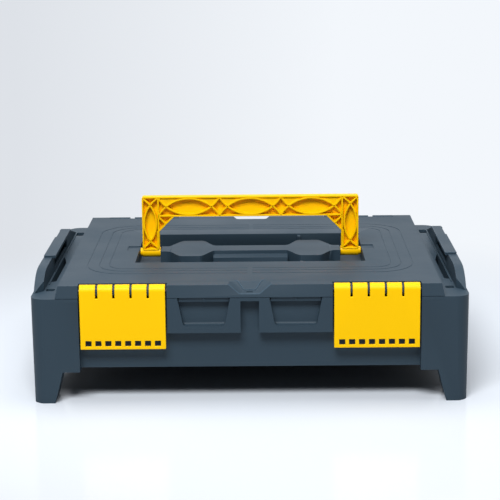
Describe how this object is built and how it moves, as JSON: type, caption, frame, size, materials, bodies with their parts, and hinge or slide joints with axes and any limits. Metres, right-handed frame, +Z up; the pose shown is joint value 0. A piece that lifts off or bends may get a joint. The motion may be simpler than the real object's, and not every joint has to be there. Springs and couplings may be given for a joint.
{
  "type": "tool case",
  "caption": "Slim stacking hard tool case with corner feet, side rails, hinged lid, snap latches and a folding bail handle.",
  "frame": {"origin": "on the ground under the middle of the case", "axes": "+X to the right seen from the front, +Y to the rear, +Z up; the latches are on -Y"},
  "size_m": [0.442, 0.359, 0.1805],
  "materials": {
    "base_plastic": "satin",
    "lid_plastic": "satin",
    "cap_plastic": "satin",
    "handle_plastic": "satin",
    "latch_plastic": "satin",
    "pin_steel": "satin"
  },
  "bodies": {
    "base": {"base_shell": "base_plastic", "rail_cap_left": "cap_plastic", "rail_cap_right": "cap_plastic"},
    "lid": {"lid_shell": "lid_plastic", "hinge_pin_left": "pin_steel", "hinge_pin_right": "pin_steel", "handle_pin_left": "pin_steel", "handle_pin_right": "pin_steel", "latch_pin_left": "pin_steel", "latch_pin_right": "pin_steel"},
    "handle": {"carry_handle": "handle_plastic"},
    "latch_left": {"latch_left": "latch_plastic"},
    "latch_right": {"latch_right": "latch_plastic"}
  },
  "joints": [
    {"name": "lid_hinge", "type": "hinge", "parent": "base", "child": "lid", "pos_m": [0, 0.1735, 0.1165], "axis": [-1, 0, 0], "range_deg": [0, 110]},
    {"name": "handle_swing", "type": "hinge", "parent": "lid", "child": "handle", "pos_m": [0, 0, 0.1178], "axis": [1, 0, 0], "range_deg": [-90, 90]},
    {"name": "latch_left_hinge", "type": "hinge", "parent": "lid", "child": "latch_left", "pos_m": [-0.1277, -0.173, 0.116], "axis": [-1, 0, 0], "range_deg": [0, 120]},
    {"name": "latch_right_hinge", "type": "hinge", "parent": "lid", "child": "latch_right", "pos_m": [0.1277, -0.173, 0.116], "axis": [-1, 0, 0], "range_deg": [0, 120]}
  ]
}
